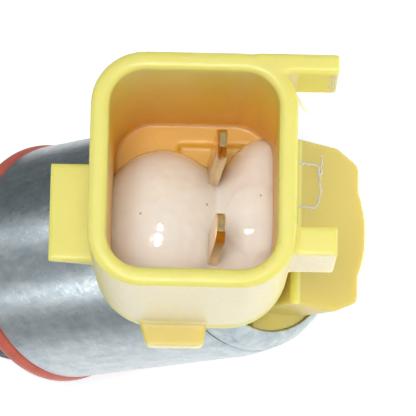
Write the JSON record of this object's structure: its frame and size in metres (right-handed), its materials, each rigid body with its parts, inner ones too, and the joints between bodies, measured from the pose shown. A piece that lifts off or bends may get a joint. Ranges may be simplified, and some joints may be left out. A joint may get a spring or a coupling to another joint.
{
  "type": "geared dc motor",
  "caption": "Sealed brushed DC motor in a plated steel can with an angled two-blade connector, an O-ring and a planetary gearbox driving a D-cut output shaft.",
  "frame": {"origin": "centre of the front flange's mounting face, on the output shaft's axis", "axes": "+X along the motor and output shaft, out of the front face; +Z towards the side the connector leans to; the connector opens towards -X and +Z at 45 degrees"},
  "size_m": [0.0762, 0.0216, 0.0361],
  "materials": {
    "zinc_plated": "bright zinc plating, faintly mottled",
    "yellow_plastic": "moulded, satin, slightly translucent",
    "potting_resin": "glossy cast resin",
    "red_silicone": "smooth silicone",
    "black_plastic": "moulded, satin",
    "brown_plastic": "phenolic, matt",
    "brass": "stamped, bright",
    "bronze": "sintered, oily, matt",
    "copper": "enamelled or bare copper",
    "carbon": "pressed carbon, matt",
    "ferrite": "sintered, matt",
    "steel": "machined, bright",
    "gear_steel": "hobbed, oiled",
    "dark_steel": "blackened, satin"
  },
  "bodies": {
    "housing": {"motor_can": "zinc_plated", "end_bell": "zinc_plated", "o_ring": "red_silicone", "magnet_left": "ferrite", "magnet_right": "ferrite", "magnet_clip": "steel", "brush_plate": "brown_plastic", "brush_left": "carbon", "brush_right": "carbon", "brush_arm_left": "brass", "brush_arm_right": "brass", "front_bush": "bronze", "rear_bush": "bronze", "adapter_screw_1": "steel", "adapter_screw_2": "steel", "gearbox_adapter": "black_plastic", "cover_screw_1": "steel", "cover_screw_2": "steel", "cover_screw_3": "steel", "ring_gear": "dark_steel", "front_flange": "steel", "output_bush_rear": "bronze", "output_bush_front": "bronze", "connector_body": "yellow_plastic", "blade_left": "brass", "blade_right": "brass", "potting": "potting_resin"},
    "armature": {"motor_shaft": "gear_steel", "armature_core": "gear_steel", "coil_1": "copper", "coil_2": "copper", "coil_3": "copper", "commutator_base": "brown_plastic", "commutator_segment_1": "copper", "commutator_segment_2": "copper", "commutator_segment_3": "copper", "shaft_washer_front": "brown_plastic", "shaft_washer_rear": "brown_plastic", "sun_pinion_1": "brass"},
    "stage_1_carrier": {"carrier_1_plate": "gear_steel", "carrier_1_pin_1": "gear_steel", "carrier_1_pin_2": "gear_steel", "carrier_1_pin_3": "gear_steel", "sun_pinion_2": "gear_steel"},
    "stage_1_planet_1": {"planet_1_1": "gear_steel"},
    "stage_1_planet_2": {"planet_1_2": "gear_steel"},
    "stage_1_planet_3": {"planet_1_3": "gear_steel"},
    "output_carrier": {"carrier_2_plate": "gear_steel", "carrier_2_pin_1": "gear_steel", "carrier_2_pin_2": "gear_steel", "carrier_2_pin_3": "gear_steel", "output_shaft": "steel", "thrust_washer": "bronze", "retaining_ring": "dark_steel"},
    "stage_2_planet_1": {"planet_2_1": "gear_steel"},
    "stage_2_planet_2": {"planet_2_2": "gear_steel"},
    "stage_2_planet_3": {"planet_2_3": "gear_steel"}
  },
  "joints": [
    {"name": "armature_spin", "type": "hinge", "parent": "housing", "child": "armature", "pos_m": [-0.03, 0, 0], "axis": [1, 0, 0], "continuous": true},
    {"name": "stage_1_carrier_spin", "type": "hinge", "parent": "housing", "child": "stage_1_carrier", "pos_m": [-0.014, 0, 0], "axis": [1, 0, 0], "continuous": true},
    {"name": "output_spin", "type": "hinge", "parent": "housing", "child": "output_carrier", "pos_m": [0, 0, 0], "axis": [1, 0, 0], "continuous": true},
    {"name": "stage_1_planet_1_spin", "type": "hinge", "parent": "stage_1_carrier", "child": "stage_1_planet_1", "pos_m": [-0.0168, 0.00367, 0], "axis": [1, 0, 0], "continuous": true},
    {"name": "stage_1_planet_2_spin", "type": "hinge", "parent": "stage_1_carrier", "child": "stage_1_planet_2", "pos_m": [-0.0168, -0.00184, 0.00318], "axis": [1, 0, 0], "continuous": true},
    {"name": "stage_1_planet_3_spin", "type": "hinge", "parent": "stage_1_carrier", "child": "stage_1_planet_3", "pos_m": [-0.0168, -0.00184, -0.00318], "axis": [1, 0, 0], "continuous": true},
    {"name": "stage_2_planet_1_spin", "type": "hinge", "parent": "output_carrier", "child": "stage_2_planet_1", "pos_m": [-0.0104, 0.00367, 0], "axis": [1, 0, 0], "continuous": true},
    {"name": "stage_2_planet_2_spin", "type": "hinge", "parent": "output_carrier", "child": "stage_2_planet_2", "pos_m": [-0.0104, -0.00184, 0.00318], "axis": [1, 0, 0], "continuous": true},
    {"name": "stage_2_planet_3_spin", "type": "hinge", "parent": "output_carrier", "child": "stage_2_planet_3", "pos_m": [-0.0104, -0.00184, -0.00318], "axis": [1, 0, 0], "continuous": true}
  ],
  "couplings": [
    {"joint": "stage_1_carrier_spin", "follows": "armature_spin", "ratio": 0.21429},
    {"joint": "output_spin", "follows": "armature_spin", "ratio": 0.045918},
    {"joint": "stage_1_planet_1_spin", "follows": "armature_spin", "ratio": -0.58929},
    {"joint": "stage_1_planet_2_spin", "follows": "armature_spin", "ratio": -0.58929},
    {"joint": "stage_1_planet_3_spin", "follows": "armature_spin", "ratio": -0.58929},
    {"joint": "stage_2_planet_1_spin", "follows": "armature_spin", "ratio": -0.12628},
    {"joint": "stage_2_planet_2_spin", "follows": "armature_spin", "ratio": -0.12628},
    {"joint": "stage_2_planet_3_spin", "follows": "armature_spin", "ratio": -0.12628}
  ]
}
